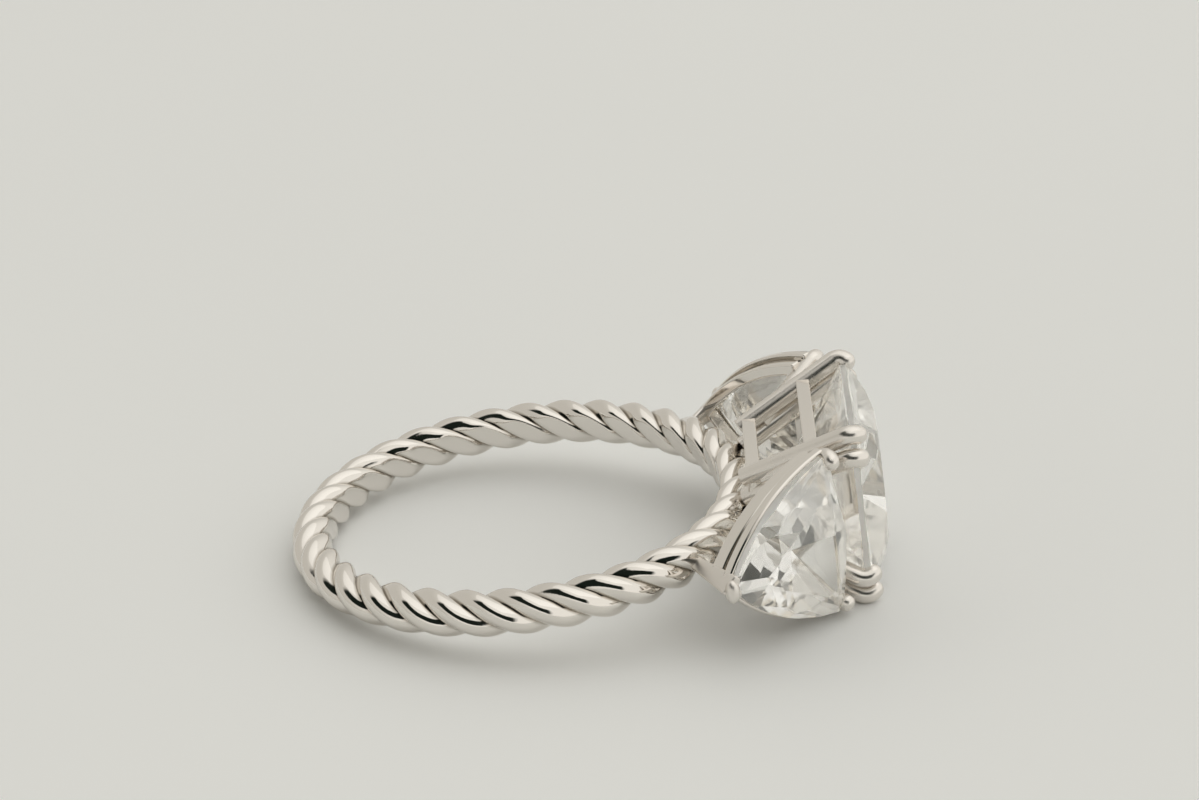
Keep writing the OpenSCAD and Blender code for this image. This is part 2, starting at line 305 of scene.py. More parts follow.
def polish_group():
    """From coordinates and two limits of roughness: a hazy roughness and the height of the ripples."""
    group = bpy.data.node_groups.new("polish_marks", "ShaderNodeTree")
    face = group.interface
    face.new_socket(name="Vector", in_out="INPUT", socket_type="NodeSocketVector")
    low = face.new_socket(name="Low", in_out="INPUT", socket_type="NodeSocketFloat")
    high = face.new_socket(name="High", in_out="INPUT", socket_type="NodeSocketFloat")
    low.default_value, high.default_value = 0.05, 0.15
    face.new_socket(name="Roughness", in_out="OUTPUT", socket_type="NodeSocketFloat")
    face.new_socket(name="Height", in_out="OUTPUT", socket_type="NodeSocketFloat")
    source = add_node(group, "NodeGroupInput")
    result = add_node(group, "NodeGroupOutput")
    spread = add_node(group, "ShaderNodeMapRange")
    spread.inputs["From Min"].default_value, spread.inputs["From Max"].default_value = 0.3, 0.7
    group.links.new(noise(group, source.outputs["Vector"], HAZE_SCALE, 4), spread.inputs["Value"])
    group.links.new(source.outputs["Low"], spread.inputs["To Min"])
    group.links.new(source.outputs["High"], spread.inputs["To Max"])
    group.links.new(spread.outputs["Result"], result.inputs["Roughness"])
    group.links.new(noise(group, source.outputs["Vector"], RIPPLE_SCALE, 3), result.inputs["Height"])
    return group


POLISH = polish_group()
print("polish group:", len(POLISH.nodes), "nodes")


def polished(tree, shader, low, high, ripple_depth):
    """Places the polish group in a material, with its own haze and ripples."""
    marks = add_node(tree, "ShaderNodeGroup", node_tree=POLISH)
    marks.inputs["Low"].default_value, marks.inputs["High"].default_value = low, high
    tree.links.new(object_place(tree), marks.inputs["Vector"])
    tree.links.new(marks.outputs["Roughness"], shader.inputs["Roughness"])
    bump = add_node(tree, "ShaderNodeBump")
    bump.inputs["Strength"].default_value = 1
    bump.inputs["Distance"].default_value = ripple_depth * MM
    tree.links.new(marks.outputs["Height"], bump.inputs["Height"])
    tree.links.new(bump.outputs["Normal"], shader.inputs["Normal"])


# %% [markdown]
# ## White gold
#
# White gold is a little warmer than silver. The rope's grooves get painted shade: their colour turns darker
# the deeper they lie, where shade falls between the strands. Each rope vertex holds how deep it lies in a
# groove, and the material reads that attribute. The side bands use the same painted shade on their faces
# inside the slot. The claws are rubbed down after the stones are in, and the small pointed claws are only
# filed, so both are less bright than the rest. Each finish is the same metal with its own limits of haze.

# %% Metal finishes
GOLD_LIGHT = (0.80, 0.765, 0.72, 1)
# The darker colour is painted shade for the rope's grooves and the bands' slot faces.
GROOVE_SHADE_COLOUR = (0.36, 0.325, 0.275, 1)
GROOVE_BEGINS = 0.72
WHEEL_POLISHED, RUBBED, FILED = (0.035, 0.11), (0.20, 0.30), (0.32, 0.42)
ROPE_RIPPLE, RIPPLE = 0.008, 0.004


def gold_finish(name, low, high, ripple_depth, grooves=False):
    """White gold with its own haze and ripples, and painted shade where the mesh marks a groove."""
    material, tree, shader = new_material(name)
    shader.inputs["Metallic"].default_value = 1
    shader.inputs["Base Color"].default_value = GOLD_LIGHT
    polished(tree, shader, low, high, ripple_depth)
    if grooves:
        # Painted shade: the colour darkens in the grooves and slot faces that the mesh marks.
        depth = add_node(tree, "ShaderNodeAttribute", attribute_name="groove")
        shade = ramp(tree, [(GROOVE_BEGINS, GOLD_LIGHT), (1.0, GROOVE_SHADE_COLOUR)])
        tree.links.new(depth.outputs["Fac"], shade.inputs[0])
        tree.links.new(shade.outputs["Color"], shader.inputs["Base Color"])
    return material


rope_gold = gold_finish("rope_gold", *WHEEL_POLISHED, ROPE_RIPPLE, grooves=True)
setting_gold = gold_finish("setting_gold", *WHEEL_POLISHED, RIPPLE)
claw_gold = gold_finish("claw_gold", *RUBBED, RIPPLE)
tip_gold = gold_finish("tip_gold", *FILED, RIPPLE)
band_gold = gold_finish("band_gold", *WHEEL_POLISHED, RIPPLE, grooves=True)
print("white gold:", [m.name for m in (rope_gold, setting_gold, claw_gold, tip_gold, band_gold)])

# %% [markdown]
# ## Clear stone
#
# The stones are clear and bend light strongly. Their facets are flat mirrors with a trace of dust, and the
# thin band round the girdle is left ground, not polished. Inside a cut stone light turns many times before
# it leaves, but the picture follows it for a few turns only, and what it drops would leave dark facets. So
# at the last turn that it follows, the stone glows with the mean light of the room.

# %% Stone finishes
LAST_TURN = 4
DUST_SCALE, GRIND_SCALE = 900, 4000
BLACK, ROOM_MEAN = (0, 0, 0, 1), (0.38, 0.365, 0.325, 1)


def vary_roughness(tree, shader, pattern, seen, rough):
    """Spreads a pattern, as far as it lies between two values, over a span of roughness."""
    span = add_node(tree, "ShaderNodeMapRange")
    span.inputs["From Min"].default_value, span.inputs["From Max"].default_value = seen
    span.inputs["To Min"].default_value, span.inputs["To Max"].default_value = rough
    tree.links.new(pattern, span.inputs["Value"])
    tree.links.new(span.outputs["Result"], shader.inputs["Roughness"])


stone_clear, tree, shader = new_material("stone_clear")
shader.inputs["Base Color"].default_value = (1.0, 0.995, 0.975, 1)
shader.inputs["Transmission Weight"].default_value = 0.93
shader.inputs["IOR"].default_value = 2.0
vary_roughness(tree, shader, noise(tree, object_place(tree), DUST_SCALE, 5), (0.45, 0.8), (0.0, 0.05))
turned = add_node(tree, "ShaderNodeMath", operation="GREATER_THAN")
turned.inputs[1].default_value = LAST_TURN - 0.5
tree.links.new(add_node(tree, "ShaderNodeLightPath").outputs["Glossy Depth"], turned.inputs[0])
tree.links.new(blend(tree, turned.outputs["Value"], BLACK, ROOM_MEAN), shader.inputs["Emission Color"])
shader.inputs["Emission Strength"].default_value = 1

stone_girdle, tree, shader = new_material("stone_girdle")
shader.inputs["Transmission Weight"].default_value = 1
shader.inputs["IOR"].default_value = 2.2
vary_roughness(tree, shader, noise(tree, object_place(tree), GRIND_SCALE, 2), (0, 1), (0.25, 0.45))
print("stones: clear facets and a ground girdle")

# %% [markdown]
# ## Turning a bmesh into a piece
#
# Every piece ends the same way: it is laid down into the frame, its faces are shaded, it is tied to the
# body, and the construction node that it stands for is hidden.

# %% Finish a piece
MERGE = 0.0005
SMOOTH_UNDER = 40


def finish_piece(bm, name, node, materials, sharp_angle=None):
    """Lays a bmesh down as an object, shaded flat, or smooth but for edges over sharp_angle degrees."""
    bmesh.ops.transform(bm, matrix=LAY_DOWN, verts=bm.verts)
    mesh = bpy.data.meshes.new(name)
    bm.to_mesh(mesh)
    bm.free()
    for material in materials:
        mesh.materials.append(material)
    if sharp_angle is None:
        mesh.shade_flat()
    else:
        mesh.shade_smooth()
        mesh.set_sharp_from_angle(angle=radians(sharp_angle))
    piece = bpy.data.objects.new(name, mesh)
    bpy.context.scene.collection.objects.link(piece)
    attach(piece, "root")
    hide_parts(node)
    mesh.calc_loop_triangles()
    print(name, len(mesh.loop_triangles), "triangles")


# %% [markdown]
# ## The twisted rope
#
# A real shank of this kind is three wires twisted together and bent round. Its section is a clover of
# three round lobes. One crest of the rope repeats 34 times round the ring, so only that much is made: the
# section is pulled along in small steps, turned a little at each, and the length is then copied round.

# %% One section of the rope
LOBE_STEPS = 22
STEPS_PER_CREST = 22
STRAND_OFF = (CREST_R ** 2 - GROOVE_R ** 2) / (2 * CREST_R - GROOVE_R)
STRAND_R = CREST_R - STRAND_OFF
LOBE_HALF = atan2(GROOVE_R * sin(pi / 3), GROOVE_R * cos(pi / 3) - STRAND_OFF)


def rope_section(bm):
    """The clover of three lobes in the XZ plane, with its middle on the rope's centre line."""
    ring = []
    for strand in range(STRANDS):
        for k in range(LOBE_STEPS):
            turn = LOBE_HALF * (2 * k / LOBE_STEPS - 1)
            x, z = STRAND_OFF + STRAND_R * cos(turn), STRAND_R * sin(turn)
            angle = atan2(z, x) + radians(ROPE_PHASE) + strand * 2 * pi / STRANDS
            r = hypot(x, z)
            ring.append(bm.verts.new((ROPE_R + r * cos(angle), 0, r * sin(angle))))
    return [bm.edges.new((ring[k - 1], ring[k])) for k in range(len(ring))]


def along_rope(step):
    """Where the first section lies after that many steps round the ring."""
    round_turn = 2 * pi * step / (CRESTS * STEPS_PER_CREST)
    twist = Matrix.Rotation(round_turn * CRESTS / STRANDS, 4, "Y")
    middle = Matrix.Translation((ROPE_R, 0, 0))
    return Matrix.Rotation(round_turn, 4, "Z") @ middle @ twist @ middle.inverted()


# %% Pull one crest and copy it round
rope = bmesh.new()
edges = rope_section(rope)
for step in range(STEPS_PER_CREST):
    pulled = bmesh.ops.extrude_edge_only(rope, edges=edges)["geom"]
    edges = [e for e in pulled if isinstance(e, bmesh.types.BMEdge)]
    verts = [v for v in pulled if isinstance(v, bmesh.types.BMVert)]
    bmesh.ops.transform(rope, matrix=along_rope(step + 1) @ along_rope(step).inverted(), verts=verts)
one_crest = rope.verts[:] + rope.edges[:] + rope.faces[:]
bmesh.ops.spin(rope, geom=one_crest, cent=(0, 0, 0), axis=(0, 0, 1), dvec=(0, 0, 0),
               angle=2 * pi * (CRESTS - 1) / CRESTS, steps=CRESTS - 1, use_merge=False, use_duplicate=True)
bmesh.ops.remove_doubles(rope, verts=rope.verts, dist=MERGE)
bmesh.ops.recalc_face_normals(rope, faces=rope.faces)
print("rope:", len(rope.verts), "vertices, open edges:", sum(e.is_boundary for e in rope.edges))

# %% [markdown]
# The goldsmith then turns out the finger hole, which flattens the inner crests. Here each vertex that lies
# nearer to the axis than the hole's wall is moved out to it. The step fades over a few edge widths, which
# gives the soft edge that polishing leaves.

# %% Turn out the finger hole and mark the depth for the painted groove shade
FLAT_EDGE, FADED_OUT = 0.05, 20
groove = rope.verts.layers.float.new("groove")
for vert in rope.verts:
    around = hypot(vert.co.x, vert.co.y)
    reach = hypot(around - ROPE_R, vert.co.z)
    # How deep a vertex lies in a groove, which sets how much painted shade it gets.
    vert[groove] = 1 - (reach - GROOVE_R) / (CREST_R - GROOVE_R)
    beyond = (around - FINGER_R) / FLAT_EDGE
    if beyond < FADED_OUT:
        soft = FINGER_R + FLAT_EDGE * log(1 + exp(beyond))
        vert.co.x *= soft / around
        vert.co.y *= soft / around
finish_piece(rope, "rope_shank", "ring_mount", [rope_gold], SMOOTH_UNDER)

# %% [markdown]
# ## Claws
#
# A claw is a round wire, soldered to the rope, that rises past the stone's edge and is bent in over it,
# with its end filed round. A circle is pulled to the girdle, spun round the bend, and closed with a dome.

# %% A claw from its foot, its girdle point and the way it bends
CLAW_SIDES = 28
CLAW_TURN = radians(78)
BEND_STEPS = 12
DOME_STEPS = 7


def ring_of(result):
    """The edges and vertices that an extrude or a spin ends with."""
    geom = result["geom"] if "geom" in result else result["geom_last"]
    return ([g for g in geom if isinstance(g, bmesh.types.BMEdge)],
            [g for g in geom if isinstance(g, bmesh.types.BMVert)])


def add_claw(bm, foot, girdle, inward, r, bend):
    """A wire from its foot to the girdle, bent over inward and closed with a dome."""
    along = (girdle - foot).normalized()
    aside = (inward - along * inward.dot(along)).normalized()
    axis = along.cross(aside)
    stand = Matrix((aside, axis * -1, along)).transposed().to_4x4()
    stand.translation = foot
    verts = bmesh.ops.create_circle(bm, segments=CLAW_SIDES, radius=r, matrix=stand)["verts"]
    edges = list({e for v in verts for e in v.link_edges})
    bmesh.ops.edgeloop_fill(bm, edges=edges)
    edges, verts = ring_of(bmesh.ops.extrude_edge_only(bm, edges=edges))
    bmesh.ops.translate(bm, vec=girdle - foot, verts=verts)
    bent = bmesh.ops.spin(bm, geom=edges + verts, cent=girdle + aside * bend, axis=axis,
                          dvec=(0, 0, 0), angle=CLAW_TURN, steps=BEND_STEPS)
    edges, verts = ring_of(bent)
    out = along * cos(CLAW_TURN) + aside * sin(CLAW_TURN)
    tip = girdle + aside * bend + (along * sin(CLAW_TURN) - aside * cos(CLAW_TURN)) * bend
    for k in range(1, DOME_STEPS + 1):
        now, before = pi / 2 * k / DOME_STEPS, pi / 2 * (k - 1) / DOME_STEPS
        edges, verts = ring_of(bmesh.ops.extrude_edge_only(bm, edges=edges))
        bmesh.ops.translate(bm, vec=out * r * (sin(now) - sin(before)), verts=verts)
        if k == DOME_STEPS:
            bmesh.ops.pointmerge(bm, verts=verts, merge_co=tip + out * r)
        else:
            centre = tip + out * r * sin(now)
            bmesh.ops.scale(bm, vec=(cos(now) / cos(before),) * 3, verts=verts,
                            space=Matrix.Translation(-centre))


# %% [markdown]
# ## Seats in the metal
#
# A setter cuts a small seat for the stone into every claw and band. Here the same thing is done by taking
# a slightly larger copy of the stone out of the finished metal. The cut stones come first, because they
# are the tool for it.

# %% [markdown]
# ## Cutting a stone
#
# A cutter starts from a blank with the outline of the stone and grinds one flat facet after another. The
# blank here is the outline pulled into a prism, and each facet is one plane that takes away what lies
# outside it. A facet is set by two points on the way in from the girdle: how far out, as a share of the
# outline, and how high.

# %% Planes for the facets
ON_PLANE = 1e-5


def outline_reach(outline, middle, turn):
    """How far the outline reaches from the middle in a direction."""
    return max((p[0] - middle[0]) * cos(turn) + (p[1] - middle[1]) * sin(turn) for p in outline)


def grind(bm, middle, turn, reach, low_point, high_point):
    """One facet through two points, each a share of the reach and a height."""
    r0, z0 = low_point[0] * reach, low_point[1]
    r1, z1 = high_point[0] * reach, high_point[1]
    side = 1 if (z0 + z1) > 0 else -1
    normal = Vector((abs(z1 - z0) * cos(turn), abs(z1 - z0) * sin(turn), side * (r0 - r1)))
    spot = Vector((middle[0] + r0 * cos(turn), middle[1] + r0 * sin(turn), z0))
    slice_off(bm, spot, normal.normalized())


def slice_off(bm, spot, normal):
    """Takes away all that lies outside a plane and closes the cut."""
    whole = bm.verts[:] + bm.edges[:] + bm.faces[:]
    cut = bmesh.ops.bisect_plane(bm, geom=whole, dist=ON_PLANE, plane_co=spot, plane_no=normal,
                                 clear_outer=True)["geom_cut"]
    edges = [g for g in cut if isinstance(g, bmesh.types.BMEdge) and g.is_boundary]
    if len(edges) > 2:
        bmesh.ops.edgeloop_fill(bm, edges=edges)


# %% Cut a stone
TABLE, MAIN_TABLE = 0.56, 0.61
STAR_FOOT, STAR_RISE = 0.83, 0.62
LOWER_STEEP = 1.035
BLANK_SPARE = 1
UPRIGHT = 0.05


def cut_stone(outline, middle, mains, crown, depth, grow=0.0):
    """A brilliant: table, stars, mains and upper girdle facets above, mains and lower halves below."""
    bm = bmesh.new()
    top, low = GIRDLE / 2, -GIRDLE / 2
    rim = [bm.verts.new((x, y, low - depth - BLANK_SPARE)) for x, y in outline]
    floor_face = bm.faces.new(rim)
    pulled = bmesh.ops.extrude_face_region(bm, geom=[floor_face])["geom"]
    bmesh.ops.translate(bm, vec=(0, 0, depth + crown + 3 * BLANK_SPARE),
                        verts=[g for g in pulled if isinstance(g, bmesh.types.BMVert)])
    bmesh.ops.recalc_face_normals(bm, faces=bm.faces)
    slice_off(bm, Vector((0, 0, top + crown + grow)), Vector((0, 0, 1)))
    step = 2 * pi / mains
    for k in range(mains):
        turn = k * step
        far = outline_reach(outline, middle, turn)
        grind(bm, middle, turn, far, (1, top + grow), (MAIN_TABLE, top + crown + grow))
        grind(bm, middle, turn, far, (1, low - grow), (0, low - depth - grow))
        star = turn + step / 2
        grind(bm, middle, star, outline_reach(outline, middle, star),
              (STAR_FOOT, top + crown * STAR_RISE + grow), (TABLE, top + crown + grow))
        for half in (-1, 1):
            upper = turn + half * step / 4
            far = outline_reach(outline, middle, upper)
            grind(bm, middle, upper, far, (1, top + grow), (STAR_FOOT, top + crown * STAR_RISE + grow))
            grind(bm, middle, upper, far, (1, low - grow), (0, low - depth * LOWER_STEEP - grow))
    bmesh.ops.recalc_face_normals(bm, faces=bm.faces)
    for face in bm.faces:
        if abs(face.normal.z) < UPRIGHT:
            face.material_index = 1
    return bm


# %% [markdown]
# ## The outlines
#
# The centre stone is a cushion, a square with full corners and softly bowed sides. The side stones have
# three bowed edges and blunt corners. A row of points runs along each edge.

# %% Outlines of the two cuts
CUSHION_POWER = 5
CUSHION_POINTS = 72
EDGE_POINTS = 20
CORNER_CUT = 0.04


def cushion_outline(grow=0.0):
    w, l = CENTRE_W / 2 + grow, CENTRE_L / 2 + grow
    turns = [2 * pi * (k + 0.5) / CUSHION_POINTS for k in range(CUSHION_POINTS)]

    def bowed(size, share):
        return size * (1 if share > 0 else -1) * abs(share) ** (2 / CUSHION_POWER)
    return [(bowed(w, cos(t)), bowed(l, sin(t))) for t in turns]


CORNERS = [Vector((SIDE_REACH, 0)), Vector((0, SIDE_L / 2)), Vector((0, -SIDE_L / 2))]
BOWS = [SIDE_BOW, SIDE_INNER_BOW, SIDE_BOW]


def side_outline(grow=0.0):
    points, middle = [], Vector((SIDE_MID, 0))
    for i, bow in enumerate(BOWS):
        p, q = CORNERS[i], CORNERS[(i + 1) % 3]
        d = (q - p).normalized()
        out = Vector((d.y, -d.x))
        for k in range(EDGE_POINTS):
            t = CORNER_CUT + (1 - 2 * CORNER_CUT) * k / (EDGE_POINTS - 1)
            spot = p + (q - p) * t + out * bow * 4 * t * (1 - t)
            points.append(spot + (spot - middle).normalized() * grow)
    return [(p.x, p.y) for p in points]


# %% [markdown]
# ## Where each stone sits
#
# The centre stone faces along the ring's X axis. Each side stone leans away from it by 47 degrees, and the
# left one is the right one's mirror image, which is why its frame is turned over.

# %% Frames of the stones
CENTRE_MAINS, SIDE_MAINS = 8, 9


def centre_place(x):
    """Turns Z to the ring's X axis, with the origin x away from the hole's middle."""
    return Matrix(((0, 0, 1, x), (1, 0, 0, 0), (0, 1, 0, 0), (0, 0, 0, 1)))


REACH_DIR = Vector((-sin(SIDE_TILT), cos(SIDE_TILT)))
FACE_DIR = Vector((cos(SIDE_TILT), sin(SIDE_TILT)))


def side_place(s):
    """The frame of a side stone, with s -1 for the right one and 1 for the left."""
    return Matrix(((REACH_DIR.x, 0, FACE_DIR.x, SIDE_X),
                   (s * REACH_DIR.y, 0, s * FACE_DIR.y, s * SIDE_Y),
                   (0, s, 0, 0), (0, 0, 0, 1)))


def centre_gem(grow=0.0):
    bm = cut_stone(cushion_outline(grow), (0, 0), CENTRE_MAINS, CENTRE_CROWN, CENTRE_DEPTH, grow)
    bmesh.ops.transform(bm, matrix=centre_place(CENTRE_X), verts=bm.verts)
    return bm


def side_gem(s, grow=0.0):
    bm = cut_stone(side_outline(grow), (SIDE_MID, 0), SIDE_MAINS, SIDE_CROWN, SIDE_DEPTH, grow)
    bmesh.ops.transform(bm, matrix=side_place(s), verts=bm.verts)
    return bm


# %% Make the three stones
STONE_FINISHES = [stone_clear, stone_girdle]
finish_piece(centre_gem(), "centre_stone_cut", "centre_stone", STONE_FINISHES)
finish_piece(side_gem(-1), "side_stone_right_cut", "side_stone_right", STONE_FINISHES)
finish_piece(side_gem(1), "side_stone_left_cut", "side_stone_left", STONE_FINISHES)

# %% [markdown]
# ## Cut the seats
#
# The Boolean modifier takes the larger stones out of a metal piece. Its result is kept as the piece's own
# mesh, so that nothing live is left on the piece, and the cutting shapes are thrown away.

# %% A helper that seats the stones
SEAT_GAP = 0.02


def mesh_object(bm, name):
    mesh = bpy.data.meshes.new(name)
    bm.to_mesh(mesh)
    bm.free()
    made = bpy.data.objects.new(name, mesh)
    bpy.context.scene.collection.objects.link(made)
    return made


def with_seats(bm, cutters):
    """The bmesh with each cutting shape taken out of it."""
    body = mesh_object(bm, "seat_body")
    tools = [mesh_object(cutter, "seat_tool") for cutter in cutters]
    for tool in tools:
        cut = body.modifiers.new("seat", "BOOLEAN")
        cut.operation, cut.solver, cut.object = "DIFFERENCE", "EXACT", tool
        cut.use_self = True
    seen = body.evaluated_get(bpy.context.evaluated_depsgraph_get())
    seated = bmesh.new()
    seated.from_mesh(seen.to_mesh())
    seen.to_mesh_clear()
    for used in tools + [body]:
        mesh = used.data
        bpy.data.objects.remove(used)
        bpy.data.meshes.remove(mesh)
    return seated


# %% [markdown]
# ## The centre basket
#
# Eight claws stand in four pairs, one pair at each corner of the cushion. Their feet meet the rope close
# together and they spread as they rise.

# %% Eight claws
CLAW_Y = CENTRE_W / 2 - CLAW_R * 0.47
CLAW_Z = CENTRE_L / 2 - CLAW_R * 1.85
CLAW_SLANT = 0.32
FOOT_X, FOOT_Y, FOOT_Z = ROPE_R + CREST_R * 0.35, CENTRE_W * 0.29, CENTRE_L * 0.15
CLAW_BEND = CLAW_R * 1.15


def claw_foot(side, end, which):
    return Vector((FOOT_X, side * FOOT_Y, end * (FOOT_Z + which * CLAW_PITCH / 2)))


def claw_girdle(side, end, which):
    return Vector((CENTRE_X - CLAW_R, side * (CLAW_Y - which * CLAW_SLANT * CLAW_PITCH / 2),
                   end * (CLAW_Z + which * CLAW_PITCH / 2)))


claws = bmesh.new()
for side in (-1, 1):
    for end in (-1, 1):
        for which in (-1, 1):
            add_claw(claws, claw_foot(side, end, which), claw_girdle(side, end, which),
                     Vector((0, -side * CENTRE_W, -end * CENTRE_L)), CLAW_R, CLAW_BEND)
bmesh.ops.recalc_face_normals(claws, faces=claws.faces)
claws = with_seats(claws, [centre_gem(SEAT_GAP)])
finish_piece(claws, "centre_claws", "ring_mount", [claw_gold], SMOOTH_UNDER)

# %% [markdown]
# ## Gallery rails
#
# Two square rails tie the claws together. A rail starts as a flat rectangle, its corners are rounded, an
# inset gives the wall, and the wall is pulled up and its edges are softened. A bevel under smooth shading
# would also bend the reflections on the broad faces beside it, so each of those gets a narrow inset border,
# which keeps it as flat as a filed face.

# %% Two rails
RAIL_SHARES = [0.1, 0.68]
RAIL_CORNER = 0.6
EDGE_SOFT = 0.05
BORDER = 0.02


def soften(bm, width, over=30, segments=3):
    """Rounds the edges sharper than a turn in degrees, and borders the broad faces."""
    sharp = [e for e in bm.edges if e.is_manifold and degrees(e.calc_face_angle()) > over]
    rounded = set(bmesh.ops.bevel(bm, geom=sharp, offset=width, offset_type="OFFSET", segments=segments,
                                  affect="EDGES", profile=0.5, material=-1)["faces"])
    broad = [f for f in bm.faces if f not in rounded]
    bmesh.ops.inset_region(bm, faces=broad, thickness=BORDER, use_even_offset=True)


def pull_up(bm, faces, height):
    """Extrudes faces along Z."""
    pulled = bmesh.ops.extrude_face_region(bm, geom=faces)["geom"]
    bmesh.ops.translate(bm, vec=(0, 0, height),
                        verts=[g for g in pulled if isinstance(g, bmesh.types.BMVert)])


def gallery_rail(share):
    """A rail at a share of the way from the claws' feet to the girdle."""
    w = FOOT_Y + (CLAW_Y - FOOT_Y) * share + RAIL_WALL / 2
    l = FOOT_Z + (CLAW_Z - FOOT_Z) * share + CLAW_PITCH / 2 + RAIL_WALL / 2
    x = FOOT_X + (CENTRE_X - CLAW_R - FOOT_X) * share
    bm = bmesh.new()
    corners = [bm.verts.new((sx * w, sy * l, -RAIL_H / 2))
               for sx, sy in ((-1, -1), (1, -1), (1, 1), (-1, 1))]
    bm.faces.new(corners)
    bmesh.ops.bevel(bm, geom=corners, offset=RAIL_CORNER, offset_type="OFFSET", segments=6,
                    affect="VERTICES", profile=0.5, material=-1)
    bmesh.ops.inset_region(bm, faces=bm.faces[:], thickness=RAIL_WALL, use_even_offset=True,
                           use_boundary=True)
    inner = max(bm.faces, key=lambda f: len(f.verts))
    bmesh.ops.delete(bm, geom=[inner], context="FACES_ONLY")
    pull_up(bm, bm.faces[:], RAIL_H)
    bmesh.ops.recalc_face_normals(bm, faces=bm.faces)
    soften(bm, EDGE_SOFT)
    bmesh.ops.transform(bm, matrix=centre_place(x), verts=bm.verts)
    return bm


def joined(parts):
    """Several bmeshes as one."""
    whole = bmesh.new()
    for part in parts:
        mesh = bpy.data.meshes.new("part")
        part.to_mesh(mesh)
        part.free()
        whole.from_mesh(mesh)
        bpy.data.meshes.remove(mesh)
    return whole


finish_piece(joined([gallery_rail(share) for share in RAIL_SHARES]), "gallery_rails", "ring_mount",
             [setting_gold], SMOOTH_UNDER)

# %% [markdown]
# ## Bands of the side baskets
#
# Under each side stone run two bands that follow its three bowed edges. The upper one lies just under the
# girdle. The lower one leans away from it toward the stone's point, which opens the dark slot between
# them. Each edge is an arc, made by spinning one corner round the arc's middle. The faces inside the slot
# are marked for painted shade, which darkens their colour where shade falls between the two bands.

# %% The outline of a band
ARC_STEPS = 28


def edge_arc(i):
    """Middle and radius of the arc that runs along an edge of the side stone."""
    p, q, bow = CORNERS[i], CORNERS[(i + 1) % 3], BOWS[i]
    half = (q - p).length / 2
    r = (half * half + bow * bow) / (2 * bow)
    d = (q - p).normalized()
    return (p + q) / 2 - Vector((d.y, -d.x)) * (r - bow), r


def arcs_meet(first, second, near):
    """The point where two circles cross, on the side of a corner."""
    (a, ra), (b, rb) = first, second
    gap = b - a
    along = (gap.length_squared + ra * ra - rb * rb) / (2 * gap.length)
    off = sqrt(ra * ra - along * along)
    d = gap.normalized()
    spots = [a + d * along + Vector((-d.y, d.x)) * off * s for s in (-1, 1)]
    return min(spots, key=lambda spot: (spot - near).length)


def band_outline(bm, grow):
    """The outline of a band, grown outwards, as a closed chain of edges."""
    arcs = [(middle, r + grow) for middle, r in (edge_arc(i) for i in range(3))]
    spots = [arcs_meet(arcs[i - 1], arcs[i], CORNERS[i]) for i in range(3)]
    for i, (middle, _) in enumerate(arcs):
        start, end = spots[i] - middle, spots[(i + 1) % 3] - middle
        sweep = atan2(start.x * end.y - start.y * end.x, start.dot(end))
        corner = bm.verts.new((*spots[i], 0))
        bmesh.ops.spin(bm, geom=[corner], cent=(*middle, 0), axis=(0, 0, 1), dvec=(0, 0, 0),
                       angle=sweep, steps=ARC_STEPS, use_duplicate=False)


# %% One band
BAND_SOFT = 0.1
FACES_SLOT = 0.99


def side_band(height, grow, slot_side):
    """A band whose face on the slot's side, up or down, gets painted shade."""
    bm = bmesh.new()
    band_outline(bm, grow)
    band_outline(bm, grow - RAIL_WALL)
    bmesh.ops.remove_doubles(bm, verts=bm.verts, dist=MERGE)
    bmesh.ops.bridge_loops(bm, edges=bm.edges[:])
    pull_up(bm, bm.faces[:], height)
    bmesh.ops.recalc_face_normals(bm, faces=bm.faces)
    soften(bm, BAND_SOFT, segments=5)
    # Painted shade: the faces that look into the slot are marked to take the darker colour.
    groove = bm.verts.layers.float.new("groove")
    bm.normal_update()
    for face in bm.faces:
        if face.normal.z * slot_side > FACES_SLOT:
            for vert in face.verts:
                vert[groove] = 1
    return bm


# %% Both bands of a side
BAND_GROW, LOW_BAND_INSET = 0.12, 0.1
BAND_DROP = 0.035
BAND_TOP = -GIRDLE / 2 - BAND_DROP
SLOT_SHARE = 0.1
LOW_BAND_LEAN = atan2(BAND_SLOT, SIDE_REACH * (1 - SLOT_SHARE))


def side_bands(s):
    """The upper and the lower band of one side, in place."""
    upper = side_band(BAND_H, BAND_GROW, -1)
    bmesh.ops.translate(upper, vec=(0, 0, BAND_TOP - BAND_H), verts=upper.verts)
    lower = side_band(LOW_BAND_H, -LOW_BAND_INSET, 1)
    hinge = SIDE_REACH * SLOT_SHARE
    lean = (Matrix.Translation((hinge, 0, BAND_TOP - BAND_H)) @ Matrix.Rotation(LOW_BAND_LEAN, 4, "Y")
            @ Matrix.Translation((-hinge, 0, -LOW_BAND_H)))
    bmesh.ops.transform(lower, matrix=lean, verts=lower.verts)
    both = joined([upper, lower])
    bmesh.ops.transform(both, matrix=side_place(s), verts=both.verts)
    bmesh.ops.recalc_face_normals(both, faces=both.faces)
    return both


for s, word in ((-1, "right"), (1, "left")):
    bands = with_seats(side_bands(s), [side_gem(s, SEAT_GAP)])
    finish_piece(bands, "side_bands_" + word, "ring_mount", [band_gold],
                 SMOOTH_UNDER)

# %% [markdown]
# ## Bead claws
#
# Next to the centre stone each side stone has two small claws with ball-like ends. They branch off the
# centre basket's own claws.

# %% Four bead claws
BEAD_FOOT_SHARE = 0.22
BEAD_LIFT = 0.1
BEAD_BEND = BEAD_R * 1.15


def side_point(s, reach, along, up):
    """A point of a side basket: outward from its inner edge, along that edge, and up from the girdle."""
    x = SIDE_X + reach * REACH_DIR.x + up * FACE_DIR.x
    y = SIDE_Y + reach * REACH_DIR.y + up * FACE_DIR.y
    return Vector((x, s * y, along))


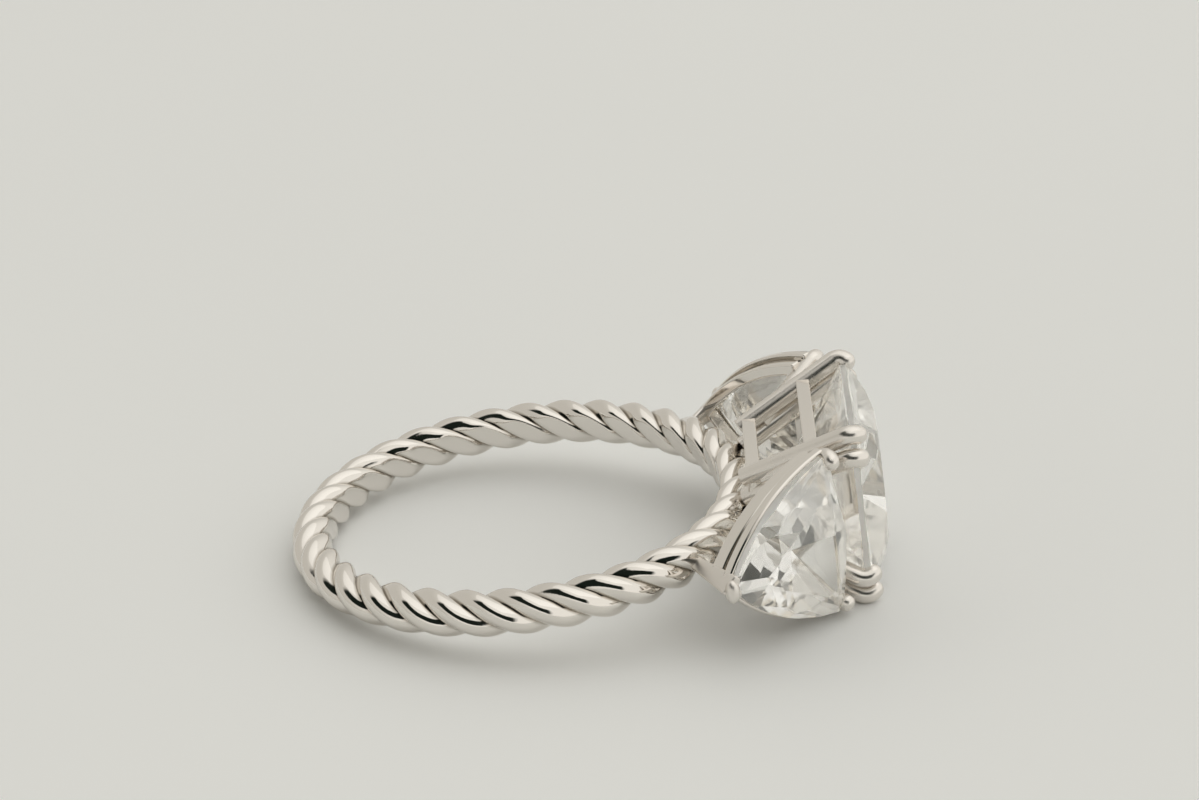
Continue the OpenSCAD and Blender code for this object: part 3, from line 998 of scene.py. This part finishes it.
beads = bmesh.new()
for s in (-1, 1):
    for end in (-1, 1):
        foot = claw_foot(s, end, 0).lerp(claw_girdle(s, end, 0), BEAD_FOOT_SHARE)
        girdle = side_point(s, -BEAD_R * 0.5, end * (SIDE_L / 2 - BEAD_R * 0.8), BEAD_LIFT - BEAD_R)
        inward = side_point(s, SIDE_MID, 0, 0) - side_point(s, 0, end * SIDE_L / 2, 0)
        add_claw(beads, foot, girdle, inward, BEAD_R, BEAD_BEND)
bmesh.ops.recalc_face_normals(beads, faces=beads.faces)
beads = with_seats(beads, [side_gem(-1, SEAT_GAP), side_gem(1, SEAT_GAP)])
finish_piece(beads, "bead_claws", "ring_mount", [claw_gold], SMOOTH_UNDER)

# %% [markdown]
# ## Pointed claws
#
# The stone's point is held by a claw folded from two flat wings with a ridge between them, which widen on
# their way from the rope. A small rounded cap sits over the tip. The wings are one section, pulled out from
# the rope and scaled up at its far end.

# %% Two pointed claws
WING_OVER = 0.15
WING_FOOT_R = ROPE_R + GROOVE_R * 0.75
WING_LEAN = radians(14)
WING_TAPER = 0.6
CAP_R, CAP_STRETCH = CLAW_R * 0.76, 1.6
CAP_OUT, CAP_UP = CAP_R * 0.4, CAP_R * 0.75
WING_SOFT = 0.09


def pointed_claw(s):
    """The folded wings and the cap of one side, in place."""
    tip = side_point(s, SIDE_REACH, 0, 0)
    heading = atan2(tip.y, tip.x) + s * WING_LEAN
    along, aside = tip.length * cos(WING_LEAN), tip.length * sin(WING_LEAN)
    run = along - sqrt(WING_FOOT_R ** 2 - aside ** 2)
    back = Vector((SIDE_REACH, SIDE_L / 2 + 2 * SIDE_BOW)).normalized()
    down, rise = WING_L * back.x, WING_L * back.y
    half = WING_T * 0.5
    section = [(0, WING_T), (rise, WING_T - down), (rise - half, half - down),
               (0, WING_T * 0.8 - down), (half - rise, half - down), (-rise, WING_T - down)]
    bm = bmesh.new()
    foot = [bm.verts.new((a * WING_TAPER, s * b * WING_TAPER, -run)) for a, b in section]
    bm.faces.new(foot)
    pull_up(bm, bm.faces[:], run + WING_OVER)
    bmesh.ops.scale(bm, vec=(1 / WING_TAPER, 1 / WING_TAPER, 1),
                    verts=[v for v in bm.verts if v.co.z > -run])
    bmesh.ops.recalc_face_normals(bm, faces=bm.faces)
    soften(bm, WING_SOFT)
    turn = Matrix.Translation(tip) @ Matrix.Rotation(heading, 4, "Z") @ Matrix.Rotation(pi / 2, 4, "Y")
    bmesh.ops.transform(bm, matrix=turn, verts=bm.verts)
    cap = bmesh.new()
    bmesh.ops.create_uvsphere(cap, u_segments=32, v_segments=20, radius=CAP_R)
    bmesh.ops.scale(cap, vec=(1, 1, CAP_STRETCH), verts=cap.verts)
    bmesh.ops.translate(cap, vec=side_point(s, SIDE_REACH + CAP_OUT, 0, CAP_UP), verts=cap.verts)
    both = joined([bm, cap])
    bmesh.ops.recalc_face_normals(both, faces=both.faces)
    return both


for s, word in ((-1, "right"), (1, "left")):
    claw = with_seats(pointed_claw(s), [side_gem(s, SEAT_GAP)])
    finish_piece(claw, "pointed_claw_" + word, "ring_mount", [tip_gold],
                 SMOOTH_UNDER)

# %% [markdown]
# ## Colours of the picture
#
# The plain display transform keeps the table's colour as it was mixed.

# %% Display
bpy.context.scene.view_settings.view_transform = "Standard"
print("display transform:", bpy.context.scene.view_settings.view_transform)
